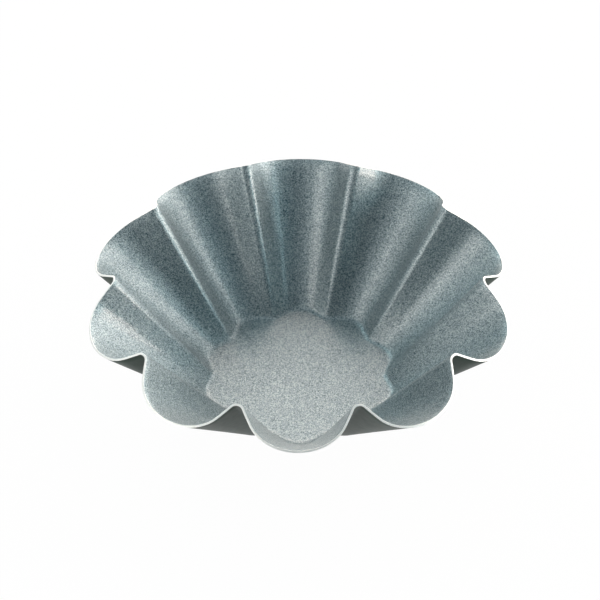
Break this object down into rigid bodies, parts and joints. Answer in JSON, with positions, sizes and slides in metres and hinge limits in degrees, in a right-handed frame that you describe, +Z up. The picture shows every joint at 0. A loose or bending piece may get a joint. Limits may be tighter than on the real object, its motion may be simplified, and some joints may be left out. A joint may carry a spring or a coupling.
{
  "type": "brioche mould",
  "caption": "Small flared brioche mould pressed from coated sheet steel, with a flat scalloped floor, fluted walls and a bare, wavy trimmed rim.",
  "frame": {"origin": "centre of the flat underside of the floor", "axes": "+Z up through the open mouth, one flute centred on -Y and one on +Y"},
  "size_m": [0.0774, 0.08, 0.0255],
  "materials": {
    "coated_steel": "satin blue-grey metallic non-stick coat inside, duller grey lacquer outside, bare steel at the trimmed edge"
  },
  "bodies": {
    "root": {"mould_shell": "coated_steel"}
  },
  "joints": []
}
